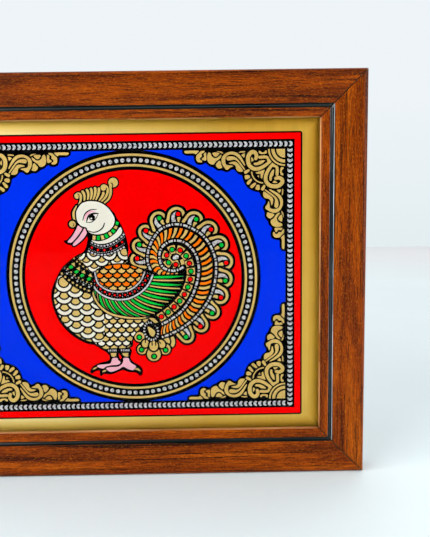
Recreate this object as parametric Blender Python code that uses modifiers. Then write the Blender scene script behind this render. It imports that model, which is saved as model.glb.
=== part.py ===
"""Framed reverse glass painting: a mitred wood moulding round a glass pane, with a gold foil
sheet and a back board behind the glass, bent steel tabs that hold them, and a hanger plate.

The origin is on the rear face of the top rail, at the middle of its length, where the frame
lies against a wall. +X runs to the viewer's right, +Z runs up, and the picture faces -Y.
Heights within the moulding are measured from the wall towards the viewer.
"""

import math

import bmesh
import bpy
from mathutils import Matrix, Vector

# Pane and what lies behind it
PANE_WIDTH = 0.244
PANE_HEIGHT = 0.203
PANE_THICKNESS = 0.002
FOIL_THICKNESS = 0.0005
BOARD_THICKNESS = 0.0032

# Clearances
FIT_GAP = 0.0003
PANE_PLAY = 0.0005

# Moulding, in cross-section
MOULDING_WIDTH = 0.028
MOULDING_DEPTH = 0.019
ARRIS_RADIUS = 0.003
ARRIS_STEPS = 8
FACE_SLOPE = math.radians(9.5)
GROOVE_WIDTH = 0.0026
GROOVE_DEPTH = 0.0016
GROOVE_STEPS = 8
LIP_WIDTH = 0.0056
LIP_DROP = 0.0002
LIP_SLOPE = math.radians(6.0)
LIP_ROUND = 0.0009
LIP_ROUND_STEPS = 4
LIP_THICKNESS = 0.0026
LIP_WALL_LEAN = 0.0006
REBATE_WIDTH = 0.005

# Steel tabs pushed into the rebate's wall
TAB_WIDTH = 0.008
TAB_THICKNESS = 0.0005
TAB_REACH = 0.010
TAB_BITE = 0.005
TAB_SPREAD = 0.55
TAB_END_STEPS = 10

# Hanger plate and its screws
HANGER_WIDTH = 0.014
HANGER_THICKNESS = 0.001
HANGER_FOOT = 0.027
HANGER_RISE = 0.004
HANGER_HEAD = 0.015
HANGER_BELOW_EDGE = 0.003
HANGER_WALL_GAP = 0.0012
EYE_RADIUS = 0.0042
ROUND_STEPS = 24
SCREW_PITCH = 0.013
SCREW_SHANK_RADIUS = 0.00125
SCREW_HEAD_RADIUS = 0.0029
SCREW_HEAD_HEIGHT = 0.0014
SCREW_CROWN = 0.0005
SCREW_GRIP = 0.0022
SCREW_SLOT_WIDTH = 0.0008
SCREW_SLOT_DEPTH = 0.0006

# The moulding's opening in front of the pane, and its outside
REBATE_OPENING_WIDTH = PANE_WIDTH + 2 * PANE_PLAY
REBATE_OPENING_HEIGHT = PANE_HEIGHT + 2 * PANE_PLAY
WALL_WIDTH = MOULDING_WIDTH - REBATE_WIDTH
OUTER_WIDTH = REBATE_OPENING_WIDTH + 2 * WALL_WIDTH
OUTER_HEIGHT = REBATE_OPENING_HEIGHT + 2 * WALL_WIDTH

# The wall face's middle is the origin, so the frame's middle lies below it
CENTRE_Z = WALL_WIDTH / 2 - OUTER_HEIGHT / 2

# How far a cutter runs past what it cuts
CUT_OVERRUN = 0.001


def arc(centre, radius, start, end, steps):
    """Points of an arc about centre, from the angle start to the angle end, both included."""
    turn = (end - start) / steps
    return [
        (
            centre[0] + radius * math.cos(start + turn * i),
            centre[1] + radius * math.sin(start + turn * i),
        )
        for i in range(steps + 1)
    ]


def face_height(inward):
    """Height of the sloping outer face at a distance inward from the moulding's outside."""
    tangent = ARRIS_RADIUS * (1 + math.sin(FACE_SLOPE))
    height = MOULDING_DEPTH - ARRIS_RADIUS * (1 - math.cos(FACE_SLOPE))
    return height - (inward - tangent) * math.tan(FACE_SLOPE)


def lip_height(inward):
    """Height of the lip's front at a distance inward from the moulding's outside."""
    start = MOULDING_WIDTH - LIP_WIDTH
    return face_height(start) - LIP_DROP - (inward - start) * math.tan(LIP_SLOPE)


REBATE_DEPTH = lip_height(MOULDING_WIDTH) - LIP_THICKNESS


def moulding_profile():
    """Cross-section as (inward, height) points: outside, rounded arris, sloping face, groove,
    lip with a rounded edge, leaning wall down to the glass, and the rebate behind it."""
    groove_start = MOULDING_WIDTH - LIP_WIDTH - GROOVE_WIDTH
    groove_end = MOULDING_WIDTH - LIP_WIDTH
    lip_edge = MOULDING_WIDTH - LIP_WALL_LEAN
    groove = []
    for step in range(1, GROOVE_STEPS):
        share = step / GROOVE_STEPS
        inward = groove_start + GROOVE_WIDTH * share
        depth = GROOVE_DEPTH * math.sin(math.pi * share) ** 0.5
        groove.append((inward, face_height(inward) - depth))
    arris = arc(
        (ARRIS_RADIUS, MOULDING_DEPTH - ARRIS_RADIUS),
        ARRIS_RADIUS,
        math.pi,
        math.pi / 2 - FACE_SLOPE,
        ARRIS_STEPS,
    )
    lip_round = arc(
        (lip_edge - LIP_ROUND, lip_height(lip_edge) - LIP_ROUND),
        LIP_ROUND,
        math.pi / 2 - LIP_SLOPE,
        0.0,
        LIP_ROUND_STEPS,
    )
    return (
        [(0.0, 0.0)]
        + arris
        + [(groove_start, face_height(groove_start))]
        + groove
        + [(groove_end, lip_height(groove_end))]
        + lip_round
        + [(MOULDING_WIDTH, REBATE_DEPTH), (WALL_WIDTH, REBATE_DEPTH), (WALL_WIDTH, 0.0)]
    )


def clear_scene():
    for old in list(bpy.data.objects):
        bpy.data.objects.remove(old, do_unlink=True)


def new_collection(name):
    collection = bpy.data.collections.new(name)
    bpy.context.scene.collection.children.link(collection)
    return collection


def principled(name, colour, roughness, metallic=0.0, transmission=0.0):
    material = bpy.data.materials.new(name)
    material.use_nodes = True
    shader = material.node_tree.nodes["Principled BSDF"]
    shader.inputs["Base Color"].default_value = (*colour, 1.0)
    shader.inputs["Roughness"].default_value = roughness
    shader.inputs["Metallic"].default_value = metallic
    shader.inputs["Transmission Weight"].default_value = transmission
    return material


def add_object(name, data, collection, material=None):
    obj = bpy.data.objects.new(name, data)
    collection.objects.link(obj)
    if material is not None:
        obj.data.materials.append(material)
    return obj


def box_mesh(name, size, centre):
    """A closed box, with its place in the mesh."""
    bm = bmesh.new()
    shape = Matrix.Translation(centre) @ Matrix.Diagonal((*size, 1.0))
    bmesh.ops.create_cube(bm, size=1.0, matrix=shape)
    mesh = bpy.data.meshes.new(name)
    bm.to_mesh(mesh)
    bm.free()
    return mesh


def rod_mesh(name, radius, length, centre):
    """A closed round rod along Y, with its place in the mesh."""
    bm = bmesh.new()
    bmesh.ops.create_cone(
        bm,
        cap_ends=True,
        segments=ROUND_STEPS,
        radius1=radius,
        radius2=radius,
        depth=length,
        matrix=Matrix.Translation(centre) @ Matrix.Rotation(math.pi / 2, 4, "X"),
    )
    mesh = bpy.data.meshes.new(name)
    bm.to_mesh(mesh)
    bm.free()
    return mesh


def plate_curve(name, outline, thickness):
    """A flat plate in its local XY plane, from one closed outline."""
    curve = bpy.data.curves.new(name, "CURVE")
    curve.dimensions = "2D"
    curve.fill_mode = "BOTH"
    curve.extrude = thickness / 2
    spline = curve.splines.new("POLY")
    spline.points.add(len(outline) - 1)
    for point, (x, y) in zip(spline.points, outline):
        point.co = (x, y, 0.0, 1.0)
    spline.use_cyclic_u = True
    return curve


def plate_mesh(name, outline, thickness, place):
    """The same plate as a welded mesh at its place, for use as a cutter."""
    curve = plate_curve(name, outline, thickness)
    holder = bpy.data.objects.new(name, curve)
    bpy.context.scene.collection.objects.link(holder)
    bpy.context.view_layer.update()
    graph = bpy.context.evaluated_depsgraph_get()
    mesh = bpy.data.meshes.new_from_object(holder.evaluated_get(graph))
    bpy.data.objects.remove(holder, do_unlink=True)
    bm = bmesh.new()
    bm.from_mesh(mesh)
    bmesh.ops.remove_doubles(bm, verts=bm.verts, dist=0.00001)
    bmesh.ops.recalc_face_normals(bm, faces=bm.faces)
    bm.transform(place)
    bm.to_mesh(mesh)
    bm.free()
    return mesh


def add_cutter(name, mesh, collection):
    cutter = add_object(name, mesh, collection)
    cutter.hide_render = True
    cutter.display_type = "WIRE"
    return cutter


def cut(obj, cutter, operation="DIFFERENCE"):
    modifier = obj.modifiers.new(cutter.name, "BOOLEAN")
    modifier.operation = operation
    modifier.solver = "EXACT"
    modifier.object = cutter


def stadium(half_width, bottom, top, steps):
    """Outline of a strip with a half-round end at its bottom and at its top."""
    lower = arc((0.0, bottom + half_width), half_width, -math.pi, 0.0, steps)
    upper = arc((0.0, top - half_width), half_width, 0.0, math.pi, steps)
    return lower + upper


def behind(height):
    """World Y of a height above the wall."""
    return -height


# Heights of the layers in the rebate, from the lip back to the wall
PANE_FRONT = REBATE_DEPTH - FIT_GAP
PANE_BACK = PANE_FRONT - PANE_THICKNESS
FOIL_FRONT = PANE_BACK - FIT_GAP
FOIL_BACK = FOIL_FRONT - FOIL_THICKNESS
BOARD_FRONT = FOIL_BACK - FIT_GAP
BOARD_BACK = BOARD_FRONT - BOARD_THICKNESS
TAB_FRONT = BOARD_BACK - FIT_GAP

# Each rail's turn about the frame's middle, seen from the front, and its outer length
RAILS = {
    "bottom": (0.0, OUTER_WIDTH, OUTER_HEIGHT),
    "right": (-math.pi / 2, OUTER_HEIGHT, OUTER_WIDTH),
    "top": (math.pi, OUTER_WIDTH, OUTER_HEIGHT),
    "left": (math.pi / 2, OUTER_HEIGHT, OUTER_WIDTH),
}

# The tabs of each rail, by the end of the rail that they are nearer to
TAB_NAMES = {
    "bottom": ("left", "right"),
    "right": ("lower", "upper"),
    "top": ("right", "left"),
    "left": ("upper", "lower"),
}


def rail_place(side):
    """Matrix from a rail's own frame to the world. In its own frame a rail runs along X, with
    its outside at Y = 0, the picture towards +Y and the viewer towards +Z."""
    turn, _, across = RAILS[side]
    middle = Matrix.Translation((0.0, 0.0, CENTRE_Z))
    return (
        middle
        @ Matrix.Rotation(turn, 4, "Y")
        @ Matrix.Translation((0.0, 0.0, -across / 2))
        @ Matrix.Rotation(math.pi / 2, 4, "X")
    )


def tab_offset(side, which):
    """Where a tab sits along its rail: the first of a rail's two tabs is at its -X end."""
    _, length, _ = RAILS[side]
    return (-1 if which == 0 else 1) * TAB_SPREAD * (length / 2 - MOULDING_WIDTH)


def add_rail(side, parts, cutters, material):
    """One rail: the profile drawn out along X, its ends sheared to the mitre, and a slot for
    each tab in the rebate's wall."""
    _, length, _ = RAILS[side]
    half = length / 2 - FIT_GAP / math.sqrt(2)
    bm = bmesh.new()
    section = bm.faces.new([bm.verts.new((0.0, u, v)) for u, v in moulding_profile()])
    far = bmesh.ops.extrude_face_region(bm, geom=[section])["geom"]
    far_verts = {item for item in far if isinstance(item, bmesh.types.BMVert)}
    for vert in bm.verts:
        reach = half - vert.co.y
        vert.co.x = reach if vert in far_verts else -reach
    bmesh.ops.recalc_face_normals(bm, faces=bm.faces)
    mesh = bpy.data.meshes.new("rail_" + side)
    bm.to_mesh(mesh)
    bm.free()
    mesh.shade_smooth()
    mesh.set_sharp_from_angle(angle=math.radians(35))
    rail = add_object("rail_" + side, mesh, parts, material)
    rail.matrix_world = rail_place(side)

    for which, end in enumerate(TAB_NAMES[side]):
        size = (TAB_WIDTH + 2 * FIT_GAP, TAB_BITE + FIT_GAP + CUT_OVERRUN, TAB_THICKNESS + 2 * FIT_GAP)
        middle = (
            tab_offset(side, which),
            WALL_WIDTH + CUT_OVERRUN - size[1] / 2,
            TAB_FRONT - TAB_THICKNESS / 2,
        )
        name = "slot_" + side + "_" + end
        slot = add_cutter(name, box_mesh(name, size, middle), cutters)
        slot.matrix_world = rail_place(side)
        cut(rail, slot)


def add_tabs(side, parts, material):
    """Flat steel points that stand in the rail's slots and reach over the back board."""
    half = TAB_WIDTH / 2
    for which, end in enumerate(TAB_NAMES[side]):
        root = WALL_WIDTH - TAB_BITE
        tip = WALL_WIDTH + TAB_REACH
        outline = [(half, root)]
        outline += arc((0.0, tip - half), half, 0.0, math.pi, TAB_END_STEPS)
        outline += [(-half, root)]
        name = "tab_" + side + "_" + end
        tab = add_object(name, plate_curve(name, outline, TAB_THICKNESS), parts, material)
        offset = (tab_offset(side, which), 0.0, TAB_FRONT - TAB_THICKNESS / 2)
        tab.matrix_world = rail_place(side) @ Matrix.Translation(offset)


def add_layer(name, width, height, front, back, parts, material):
    """A flat rectangular sheet in the rebate, between two heights."""
    size = (width, front - back, height)
    middle = (0.0, behind((front + back) / 2), CENTRE_Z)
    return add_object(name, box_mesh(name, size, middle), parts, material)


# Heights and levels of the hanger, from the rebate and the board's upper edge
HANGER_TOP = CENTRE_Z + PANE_HEIGHT / 2 - HANGER_BELOW_EDGE
HEAD_BOTTOM = HANGER_TOP - HANGER_HEAD
FOOT_TOP = HEAD_BOTTOM - HANGER_RISE
FOOT_BOTTOM = FOOT_TOP - HANGER_FOOT
FOOT_FRONT = BOARD_BACK - FIT_GAP
FOOT_BACK = FOOT_FRONT - HANGER_THICKNESS
HEAD_FRONT = HANGER_WALL_GAP + HANGER_THICKNESS
EYE_LEVEL = HANGER_TOP - HANGER_WIDTH / 2
SCREW_LEVELS = {
    "upper": (FOOT_TOP + FOOT_BOTTOM + SCREW_PITCH) / 2,
    "lower": (FOOT_TOP + FOOT_BOTTOM - SCREW_PITCH) / 2,
}


def add_hanger_plate(parts, cutters, material):
    """A steel strip, flat on the board at its foot and cranked towards the wall at its head,
    with round ends, two screw holes and an eye for the wall hook."""
    half = HANGER_WIDTH / 2 + CUT_OVERRUN
    levels = [
        (FOOT_BOTTOM - CUT_OVERRUN, FOOT_FRONT),
        (FOOT_TOP, FOOT_FRONT),
        (HEAD_BOTTOM, HEAD_FRONT),
        (HANGER_TOP + CUT_OVERRUN, HEAD_FRONT),
    ]
    bm = bmesh.new()
    pairs = [
        [bm.verts.new((side * half, behind(height), level)) for side in (-1, 1)]
        for level, height in levels
    ]
    for lower, upper in zip(pairs, pairs[1:]):
        bm.faces.new((lower[0], upper[0], upper[1], lower[1]))
    mesh = bpy.data.meshes.new("hanger_plate")
    bm.to_mesh(mesh)
    bm.free()
    plate = add_object("hanger_plate", mesh, parts, material)
    thicken = plate.modifiers.new("Thickness", "SOLIDIFY")
    thicken.thickness = HANGER_THICKNESS
    thicken.offset = 1.0
    thicken.use_even_offset = True

    deep = 4 * MOULDING_DEPTH
    outline = stadium(HANGER_WIDTH / 2, FOOT_BOTTOM, HANGER_TOP, ROUND_STEPS // 2)
    upright = Matrix.Rotation(math.pi / 2, 4, "X")
    shape = plate_mesh("hanger_outline", outline, deep, upright)
    cut(plate, add_cutter("hanger_outline", shape, cutters), "INTERSECT")
    eye = rod_mesh("hanger_eye", EYE_RADIUS, deep, Vector((0.0, 0.0, EYE_LEVEL)))
    cut(plate, add_cutter("hanger_eye", eye, cutters))
    for which, level in SCREW_LEVELS.items():
        name = "screw_hole_" + which
        hole = rod_mesh(name, SCREW_SHANK_RADIUS + FIT_GAP, deep, Vector((0.0, 0.0, level)))
        cut(plate, add_cutter(name, hole, cutters))


def drill_board(board, cutters):
    """Blind holes for the hanger's screws, from the back of the board."""
    depth = SCREW_GRIP + FIT_GAP
    for which, level in SCREW_LEVELS.items():
        name = "pilot_hole_" + which
        length = depth + CUT_OVERRUN
        middle = Vector((0.0, behind(BOARD_BACK + depth - length / 2), level))
        hole = rod_mesh(name, SCREW_SHANK_RADIUS + FIT_GAP, length, middle)
        cut(board, add_cutter(name, hole, cutters))


def add_screw(which, parts, cutters, material):
    """A round-headed screw, turned about its own axis, with a driver slot."""
    seat = FOOT_BACK - FIT_GAP
    tip = seat - (BOARD_BACK + SCREW_GRIP)
    shoulder = SCREW_HEAD_HEIGHT - SCREW_CROWN
    profile = [(0.0, SCREW_HEAD_HEIGHT), (SCREW_HEAD_RADIUS * 0.6, SCREW_HEAD_HEIGHT - SCREW_CROWN * 0.3)]
    profile += [(SCREW_HEAD_RADIUS, shoulder), (SCREW_HEAD_RADIUS, 0.0)]
    profile += [(SCREW_SHANK_RADIUS, 0.0), (SCREW_SHANK_RADIUS, tip), (0.0, tip)]
    name = "hanger_screw_" + which
    bm = bmesh.new()
    verts = [bm.verts.new((radius, 0.0, height)) for radius, height in profile]
    for first, second in zip(verts, verts[1:]):
        bm.edges.new((first, second))
    mesh = bpy.data.meshes.new(name)
    bm.to_mesh(mesh)
    bm.free()
    screw = add_object(name, mesh, parts, material)
    turn = screw.modifiers.new("Turned", "SCREW")
    turn.steps = ROUND_STEPS
    turn.render_steps = ROUND_STEPS
    turn.use_merge_vertices = True
    turn.merge_threshold = 0.00001
    screw.matrix_world = Matrix.Translation((0.0, behind(seat), SCREW_LEVELS[which])) @ Matrix.Rotation(
        -math.pi / 2, 4, "X"
    )
    size = (3 * SCREW_HEAD_RADIUS, SCREW_SLOT_WIDTH, SCREW_SLOT_DEPTH + CUT_OVERRUN)
    middle = (0.0, 0.0, SCREW_HEAD_HEIGHT - SCREW_SLOT_DEPTH + size[2] / 2)
    slot = add_cutter("driver_slot_" + which, box_mesh("driver_slot_" + which, size, middle), cutters)
    slot.matrix_world = screw.matrix_world
    cut(screw, slot)


def main():
    clear_scene()
    parts = new_collection("Reverse glass painting")
    cutters = new_collection("Cutters")

    wood = principled("Wood moulding", (0.27, 0.05, 0.008), 0.35)
    glass = principled("Clear glass", (1.0, 1.0, 1.0), 0.02, transmission=1.0)
    gold = principled("Gold foil", (0.62, 0.42, 0.12), 0.3, metallic=1.0)
    board_brown = principled("Pressed board", (0.28, 0.17, 0.08), 0.8)
    steel = principled("Bright steel", (0.6, 0.6, 0.6), 0.35, metallic=1.0)

    for side in RAILS:
        add_rail(side, parts, cutters, wood)
        add_tabs(side, parts, steel)
    add_layer("glass_pane", PANE_WIDTH, PANE_HEIGHT, PANE_FRONT, PANE_BACK, parts, glass)
    add_layer("gold_foil_sheet", PANE_WIDTH, PANE_HEIGHT, FOIL_FRONT, FOIL_BACK, parts, gold)
    board = add_layer(
        "back_board", PANE_WIDTH, PANE_HEIGHT, BOARD_FRONT, BOARD_BACK, parts, board_brown
    )
    drill_board(board, cutters)
    add_hanger_plate(parts, cutters, steel)
    for which in SCREW_LEVELS:
        add_screw(which, parts, cutters, steel)


main()
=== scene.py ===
"""Dresses the framed reverse glass painting: the moulding's wood, the gold foil, and the film of
paint on the back of the glass, with its borders, corner scrollwork, medallion and bird."""

import math

import bmesh
import bpy
from mathutils import Matrix, Vector
from mathutils.geometry import delaunay_2d_cdt


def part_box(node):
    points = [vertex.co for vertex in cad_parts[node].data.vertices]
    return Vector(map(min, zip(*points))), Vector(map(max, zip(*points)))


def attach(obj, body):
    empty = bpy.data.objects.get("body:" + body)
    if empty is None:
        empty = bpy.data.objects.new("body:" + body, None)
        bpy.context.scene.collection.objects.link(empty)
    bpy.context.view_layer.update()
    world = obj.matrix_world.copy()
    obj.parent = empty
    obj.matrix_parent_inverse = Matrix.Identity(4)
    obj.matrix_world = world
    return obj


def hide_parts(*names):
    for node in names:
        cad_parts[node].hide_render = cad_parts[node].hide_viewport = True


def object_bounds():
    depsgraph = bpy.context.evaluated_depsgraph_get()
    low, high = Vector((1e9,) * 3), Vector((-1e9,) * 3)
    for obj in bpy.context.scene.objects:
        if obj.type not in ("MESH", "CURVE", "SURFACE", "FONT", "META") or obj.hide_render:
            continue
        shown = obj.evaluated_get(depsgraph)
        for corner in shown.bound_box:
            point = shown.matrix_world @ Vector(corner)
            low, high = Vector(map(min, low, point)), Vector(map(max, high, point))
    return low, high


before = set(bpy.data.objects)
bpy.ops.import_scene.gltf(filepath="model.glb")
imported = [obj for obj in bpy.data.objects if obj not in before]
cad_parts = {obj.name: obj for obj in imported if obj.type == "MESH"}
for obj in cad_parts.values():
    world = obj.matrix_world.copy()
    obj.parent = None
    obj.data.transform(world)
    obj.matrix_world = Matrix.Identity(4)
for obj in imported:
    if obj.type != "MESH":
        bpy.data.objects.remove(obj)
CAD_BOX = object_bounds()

MM = 0.001
BODY = "root"

# Moulding, in cross-section: the same values as the solid rails
MOULDING_WIDTH = 0.028
MOULDING_DEPTH = 0.019
ARRIS_RADIUS = 0.003
ARRIS_STEPS = 10
FACE_SLOPE = math.radians(9.5)
GROOVE_WIDTH = 0.0026
GROOVE_DEPTH = 0.0016
GROOVE_STEPS = 12
# Steps at each side of the groove whose faces take the painted highlight in the uprights
GROOVE_WALL_STEPS = 1
LIP_WIDTH = 0.0056
LIP_DROP = 0.0002
LIP_SLOPE = math.radians(6.0)
LIP_ROUND = 0.0009
LIP_ROUND_STEPS = 6
LIP_THICKNESS = 0.0026
LIP_WALL_LEAN = 0.0006
REBATE_WIDTH = 0.005
WALL_WIDTH = MOULDING_WIDTH - REBATE_WIDTH
MITRE_GAP = 0.0003
MITRE_STAIN = 0.00022
GRAIN_SHIFT = 0.37
SHARP_ANGLE = math.radians(32)

# The foil's painted shade: it is darker over this distance from the lip
EDGE_REACH = 0.008

LOW = Vector(CAD_BOX[0])
HIGH = Vector(CAD_BOX[1])
OUTER_WIDTH = HIGH.x - LOW.x
OUTER_HEIGHT = HIGH.z - LOW.z
CENTRE_Z = (HIGH.z + LOW.z) / 2

# The paint lies on the back of the glass
PANE_BACK_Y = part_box("glass_pane")[1][1]
PAINT_GAP = 0.00002

# Where the medallion's middle is: the picture is set a little to one side in the moulding
MEDALLION_X = 0.002

# Camera, found from the photograph's perspective
CAMERA_PLACE = (0.0500, -0.4106, -0.0567)
CAMERA_VIEW = (0.0072, 0.9920, -0.1264)
CAMERA_UP = (0.0152, 0.1263, 0.9919)
SENSOR_WIDTH = 36.0
FOCAL_PIXELS = 647.3
IMAGE_WIDTH = 430
IMAGE_HEIGHT = 537
CLIP_START = 0.01

FLOOR_REACH = 1.45
FLOOR_GAP = 0.0001

# Names of the paints
INK = "ink"
RED = "red"
BLUE = "blue"
WHITE = "white"
SILVER = "silver"
GREEN = "green"
ORANGE = "orange"
PINK = "pink"
GOLD = "gold"

# The picture's drawing is in millimetres from the medallion's middle, X right and Z up.
# Shapes are in painter's order: later ones cover earlier ones.
SHAPES = []
INK_WEIGHT = 1.5
LINE = 0.8
LEAST_CAP = 0.12


def signed_area(outline):
    ends = outline[1:] + outline[:1]
    return sum(a[0] * b[1] - b[0] * a[1] for a, b in zip(outline, ends)) / 2


def paint(colour, outline, within=()):
    """Adds one filled outline, which shows only inside the regions that within names."""
    if signed_area(outline) < 0:
        outline = outline[::-1]
    SHAPES.append((colour, outline, tuple(within)))
    return len(SHAPES) - 1


def region(outline):
    """Adds an outline with no colour of its own, which only bounds other shapes."""
    return paint(None, outline)


def smooth(points, steps, closed=False):
    """A curve through the points, open or closed."""
    count = len(points)
    result = []
    for i in range(count if closed else count - 1):
        near = [i + k for k in (-1, 0, 1, 2)]
        if closed:
            p = [points[k % count] for k in near]
        else:
            p = [points[min(max(k, 0), count - 1)] for k in near]
        for step in range(steps):
            t = step / steps
            result.append(
                tuple(
                    b
                    + 0.5 * t * (c - a + t * (2 * a - 5 * b + 4 * c - d + t * (3 * b - a - 3 * c + d)))
                    for a, b, c, d in zip(*p)
                )
            )
    if not closed:
        result.append(tuple(points[-1]))
    return result


def rounded(points, steps=4):
    """A smooth closed outline through the points."""
    return smooth(points, steps, closed=True)


def polar(centre, radius, degrees):
    turn = math.radians(degrees)
    return (centre[0] + radius * math.cos(turn), centre[1] + radius * math.sin(turn))


def arc(centre, radius, start, end, steps):
    span = end - start
    return [polar(centre, radius, start + span * i / steps) for i in range(steps + 1)]


def disc(centre, radius, steps):
    return arc(centre, radius, 0, 360, steps)[:-1]


def oval(centre, along, across, tilt, steps):
    """An ellipse whose half-axis along is turned by tilt degrees."""
    points = []
    for i in range(steps):
        turn = 2 * math.pi * i / steps
        points.append((along * math.cos(turn), across * math.sin(turn)))
    return placed(points, centre, tilt)


def placed(points, centre, tilt):
    """Points turned by tilt degrees and moved to centre."""
    c, s = math.cos(math.radians(tilt)), math.sin(math.radians(tilt))
    return [(centre[0] + u * c - v * s, centre[1] + u * s + v * c) for u, v in points]


def box(left, right, bottom, top):
    return [(left, bottom), (right, bottom), (right, top), (left, top)]


def normals(line, closed=False):
    """Unit normals on the left of a line, at its points."""
    count = len(line)
    found = []
    for i in range(count):
        if closed:
            a, b = line[i - 1], line[(i + 1) % count]
        else:
            a, b = line[max(i - 1, 0)], line[min(i + 1, count - 1)]
        size = math.dist(a, b) or 1.0
        found.append(((a[1] - b[1]) / size, (b[0] - a[0]) / size))
    return found


def offset(line, distance, closed=False):
    """The line moved to its left by a distance."""
    return [
        (p[0] + n[0] * distance, p[1] + n[1] * distance)
        for p, n in zip(line, normals(line, closed))
    ]


def pinched(side, line):
    """A stroke's side, with its points drawn together where a tight curl turns it back."""
    for _ in range(3):
        for i in range(len(side) - 1):
            (ax, az), (bx, bz) = side[i], side[i + 1]
            (cx, cz), (dx, dz) = line[i], line[i + 1]
            if (bx - ax) * (dx - cx) + (bz - az) * (dz - cz) < 0:
                side[i] = side[i + 1] = ((ax + bx) / 2, (az + bz) / 2)
    return side


def brush(colour, line, width, closed=False, caps=True, piece=5):
    """A stroke along a line. width is a number, or a function of the share 0..1 along it.
    It is laid down in short pieces, so that a stroke may curl over itself."""
    last = len(line) - 1
    half = [(width(i / last) if callable(width) else width) / 2 for i in range(last + 1)]
    sides = normals(line, closed)
    left = [(p[0] + n[0] * h, p[1] + n[1] * h) for p, n, h in zip(line, sides, half)]
    right = [(p[0] - n[0] * h, p[1] - n[1] * h) for p, n, h in zip(line, sides, half)]
    if closed:
        left.append(left[0])
        right.append(right[0])
        line = line + line[:1]
    left = pinched(left, line)
    right = pinched(right, line)
    for i in range(0, len(left) - 1, piece):
        paint(colour, left[i : i + piece + 1] + right[i : i + piece + 1][::-1])
    if caps and not closed:
        for end in (0, -1):
            if half[end] > LEAST_CAP:
                paint(colour, disc(line[end], half[end], 10))


def taper(full, start=0.0, end=0.0, peak=0.5):
    """A stroke's width, which swells from start to full at the peak, then thins to end."""

    def width(share):
        if share < peak:
            return start + (full - start) * math.sin(math.pi / 2 * share / peak)
        return end + (full - end) * math.cos(math.pi / 2 * (share - peak) / (1 - peak))

    return width


def inked(colour, outline, ink=LINE):
    """A filled outline with a black line round it."""
    if signed_area(outline) < 0:
        outline = outline[::-1]
    paint(INK, offset(outline, -INK_WEIGHT * ink, closed=True))
    paint(colour, outline)


def inked_brush(colour, line, width, ink):
    """A stroke with a black line round it."""

    def wider(share):
        return (width(share) if callable(width) else width) + 2 * INK_WEIGHT * ink

    brush(INK, line, wider)
    brush(colour, line, width)


def run_of(line):
    """Distance along a line at each of its points."""
    total = [0.0]
    for a, b in zip(line, line[1:]):
        total.append(total[-1] + math.dist(a, b))
    return total


def at(line, share):
    """The point at a share of a line's length."""
    run = run_of(line)
    want = min(max(share, 0.0), 1.0) * run[-1]
    i = 1
    while i < len(line) - 1 and run[i] < want:
        i += 1
    t = (want - run[i - 1]) / ((run[i] - run[i - 1]) or 1.0)
    a, b = line[i - 1], line[i]
    return (a[0] + (b[0] - a[0]) * t, a[1] + (b[1] - a[1]) * t)


def heading(line, share):
    """A line's direction at a share of its length, in degrees."""
    a, b = at(line, share - 0.01), at(line, share + 0.01)
    return math.degrees(math.atan2(b[1] - a[1], b[0] - a[0]))


def stretch(line, start, end, steps=4):
    """A part of a line, between two shares of its length."""
    return [at(line, start + (end - start) * i / steps) for i in range(steps + 1)]


def draw_links(line, count, span, colours, width, steps=4):
    """A row of short strokes along a line. Each takes up the span of its own share of it."""
    for i in range(count):
        link = stretch(line, (i + span[0]) / count, (i + span[1]) / count, steps)
        brush(colours[i % len(colours)], link, width, caps=False, piece=steps)


def draw_dots(line, count, colour, radius, steps, shift=0.5):
    for i in range(count):
        paint(colour, disc(at(line, (i + shift) / count), radius, steps))


def mixed(first, second, share, steps=60):
    """A line that runs between two others."""
    result = []
    for i in range(steps + 1):
        a, b = at(first, i / steps), at(second, i / steps)
        result.append((a[0] + (b[0] - a[0]) * share, a[1] + (b[1] - a[1]) * share))
    return result


def swing(start, bend, end, steps=8):
    """A curve from start to end that is pulled towards bend."""
    points = []
    for i in range(steps + 1):
        t = i / steps
        points.append(
            tuple(
                (1 - t) ** 2 * a + 2 * t * (1 - t) * b + t * t * c
                for a, b, c in zip(start, bend, end)
            )
        )
    return points


# Panel, its borders and the medallion's rings
PANEL_LEFT = -98.7
PANEL_RIGHT = 94.8
PANEL_TOP = 78.9
BEAD_STRIP = 5.75
RED_BAND = 3.7
EDGE_LINE = 0.95
EDGE_CORNER = 1.3
BEAD_PITCH = 3.08
BEAD_HALF = 1.64
BEAD_THICKNESS = 1.72

RING_OUTSIDE = 79.3
OUTER_GOLD = (77.15, 75.75)
PEARL_LINE = 73.25
PEARL_RADIUS = 1.25
PEARLS = 123
INNER_GOLD = (70.8, 69.45)
FIELD_RADIUS = 67.3


def grown(by):
    """The panel's sides, all moved out."""
    return (PANEL_LEFT - by, PANEL_RIGHT + by, -PANEL_TOP - by, PANEL_TOP + by)


def rounded_box(sides, radius):
    left, right, bottom, top = sides
    corners = ((right, top), (left, top), (left, bottom), (right, bottom))
    outline = []
    for i, (x, z) in enumerate(corners):
        centre = (x - math.copysign(radius, x), z - math.copysign(radius, z))
        outline += arc(centre, radius, 90 * i, 90 * i + 90, 5)
    return outline


def draw_bead(centre, towards):
    """One crescent bead of the border, which points along towards, in degrees."""
    front = arc((0.0, 0.0), BEAD_HALF, -86, 86, 8)
    back = arc((-BEAD_THICKNESS, 0.0), BEAD_HALF, 56, -56, 6)
    paint(SILVER, placed(front + back, centre, towards))


def draw_borders():
    paint(INK, rounded_box(grown(BEAD_STRIP + RED_BAND + EDGE_LINE), EDGE_CORNER))
    paint(RED, box(*grown(BEAD_STRIP + RED_BAND)))
    paint(INK, box(*grown(BEAD_STRIP)))
    left, right, bottom, top = grown(BEAD_STRIP / 2)
    rows = (
        ((left, top), (right, top), 0),
        ((right, top), (right, bottom), -90),
        ((right, bottom), (left, bottom), 180),
        ((left, bottom), (left, top), 90),
    )
    for start, end, towards in rows:
        count = round(math.dist(start, end) / BEAD_PITCH)
        for i in range(count):
            draw_bead(at([start, end], (i + 1.1) / (count + 0.1)), towards)
    paint(BLUE, box(*grown(0.0)))


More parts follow.
